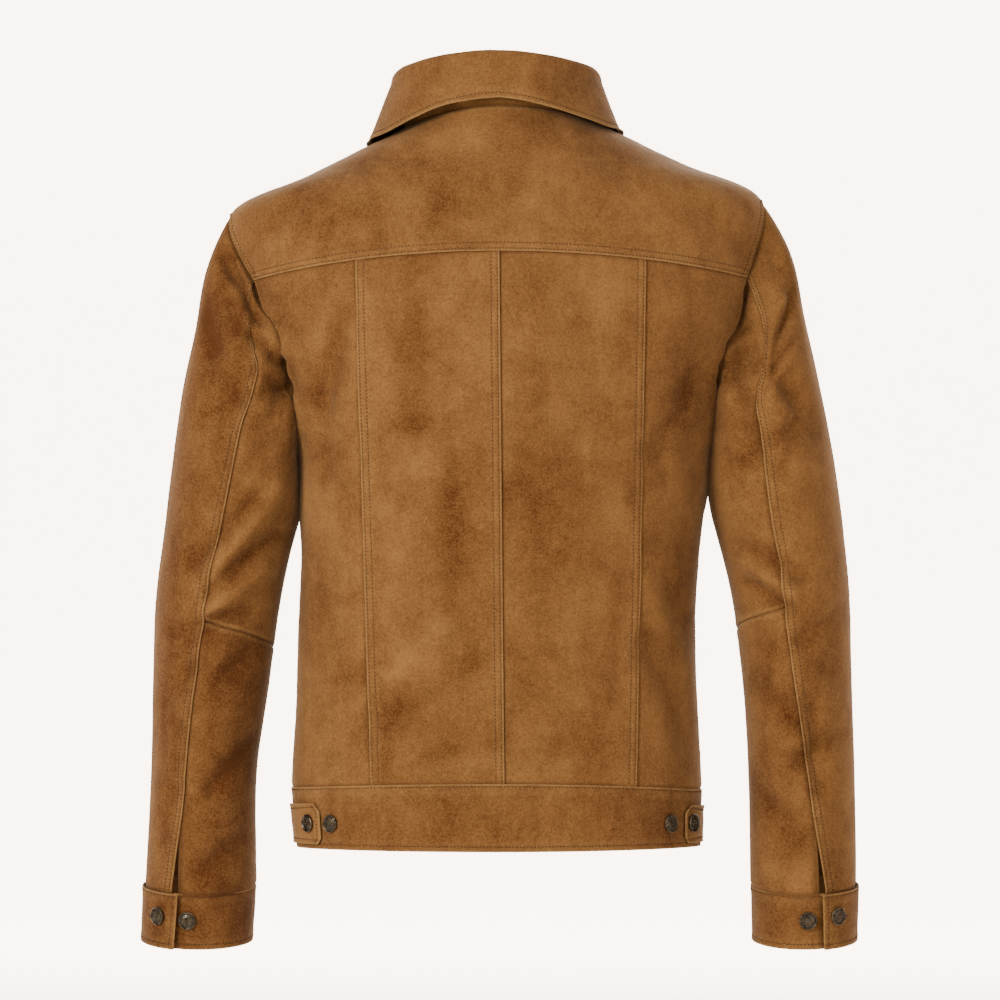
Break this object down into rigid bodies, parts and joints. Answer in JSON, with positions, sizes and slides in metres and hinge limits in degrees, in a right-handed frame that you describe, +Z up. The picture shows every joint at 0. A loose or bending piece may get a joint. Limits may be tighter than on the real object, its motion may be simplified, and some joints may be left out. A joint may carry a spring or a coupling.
{
  "type": "suede jacket",
  "caption": "Suede jacket in the trucker cut, worn shape, hollow, with a turned-down collar, yoke, waistband with side tabs, and buttoned cuffs.",
  "frame": {"origin": "middle of the neck base, where the wearer's neck and shoulders hold the jacket", "axes": "+Z up, -Y out of the jacket's back, +X towards the wearer's right"},
  "size_m": [0.6312, 0.2661, 0.7895],
  "materials": {
    "suede": "tan suede with a soft mottled nap",
    "thread": "brown sewing thread",
    "button_metal": "dark antique brass"
  },
  "bodies": {
    "root": {"back_side_left": "suede", "back_center_left": "suede", "back_center_right": "suede", "back_side_right": "suede", "yoke_back": "suede", "waistband_back": "suede", "waistband_front_left": "suede", "waistband_front_right": "suede", "collar_stand": "suede", "collar_fall": "suede", "front_left": "suede", "front_right": "suede", "placket_left": "suede", "placket_right": "suede", "top_sleeve_left": "suede", "top_sleeve_right": "suede", "under_sleeve_upper_left": "suede", "under_sleeve_upper_right": "suede", "under_sleeve_lower_left": "suede", "under_sleeve_lower_right": "suede", "cuff_left": "suede", "cuff_right": "suede", "waist_tab_left": "suede", "waist_tab_right": "suede", "button_cuff_left_flap": "button_metal", "button_cuff_left_spare": "button_metal", "button_cuff_right_flap": "button_metal", "button_cuff_right_spare": "button_metal", "button_waist_left_tab": "button_metal", "button_waist_left_spare": "button_metal", "button_waist_right_tab": "button_metal", "button_waist_right_spare": "button_metal", "button_front_1": "button_metal", "button_front_2": "button_metal", "button_front_3": "button_metal", "button_front_4": "button_metal", "button_front_5": "button_metal", "button_front_6": "button_metal"}
  },
  "joints": []
}
